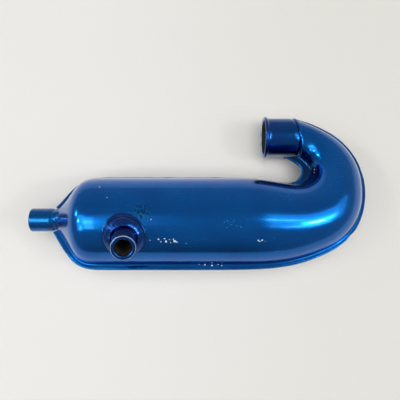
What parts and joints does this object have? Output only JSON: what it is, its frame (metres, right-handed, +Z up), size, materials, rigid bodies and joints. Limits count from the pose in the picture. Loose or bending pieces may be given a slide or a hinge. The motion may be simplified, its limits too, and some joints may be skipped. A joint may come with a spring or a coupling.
{
  "type": "tuned exhaust pipe",
  "caption": "J-shaped tuned exhaust pipe of seam-welded pressed half shells, with a lipped inlet tube, a short side outlet and a hanger boss with a set screw.",
  "frame": {"origin": "under the middle of the pipe as it lies, on the surface that its belly and the inlet's lip touch", "axes": "+Z up; +X along the chamber, from the hanger boss towards the bend; +Y from the chamber towards the inlet tube"},
  "size_m": [0.1396, 0.0672, 0.0481],
  "materials": {
    "shell_blue": "glossy transparent candy blue over bright metal, chipped to bare metal in a few spots",
    "tube_blue": "glossy candy blue, a little darker than the shells",
    "seam_weld": "glossy candy blue over an uneven fused edge",
    "outlet_tint": "glossy blue with a violet heat tint",
    "screw_black": "black oxide steel, slightly oily",
    "inner_sheet": "bare pressed sheet, lightly sooted",
    "braze": "dull braze metal"
  },
  "bodies": {
    "pipe": {"upper_shell": "shell_blue", "lower_shell": "shell_blue", "outer_seam_weld": "seam_weld", "inner_seam_weld": "seam_weld", "inlet_tube": "tube_blue", "inlet_weld_bead": "seam_weld", "outlet_tube": "outlet_tint", "outlet_weld_bead": "outlet_tint", "hanger_boss": "tube_blue", "boss_weld_upper": "seam_weld", "boss_weld_lower": "seam_weld", "reflector_cone": "inner_sheet", "transfer_tube": "inner_sheet", "transfer_tube_braze": "braze", "cone_tack_weld_1": "braze", "cone_tack_weld_2": "braze", "cone_tack_weld_3": "braze"},
    "set_screw": {"grub_screw": "screw_black"}
  },
  "joints": [
    {"name": "set_screw_travel", "type": "slide", "parent": "pipe", "child": "set_screw", "axis": [0, 0.9736, -0.2284], "range_m": [-0.0022, 0.002]}
  ]
}
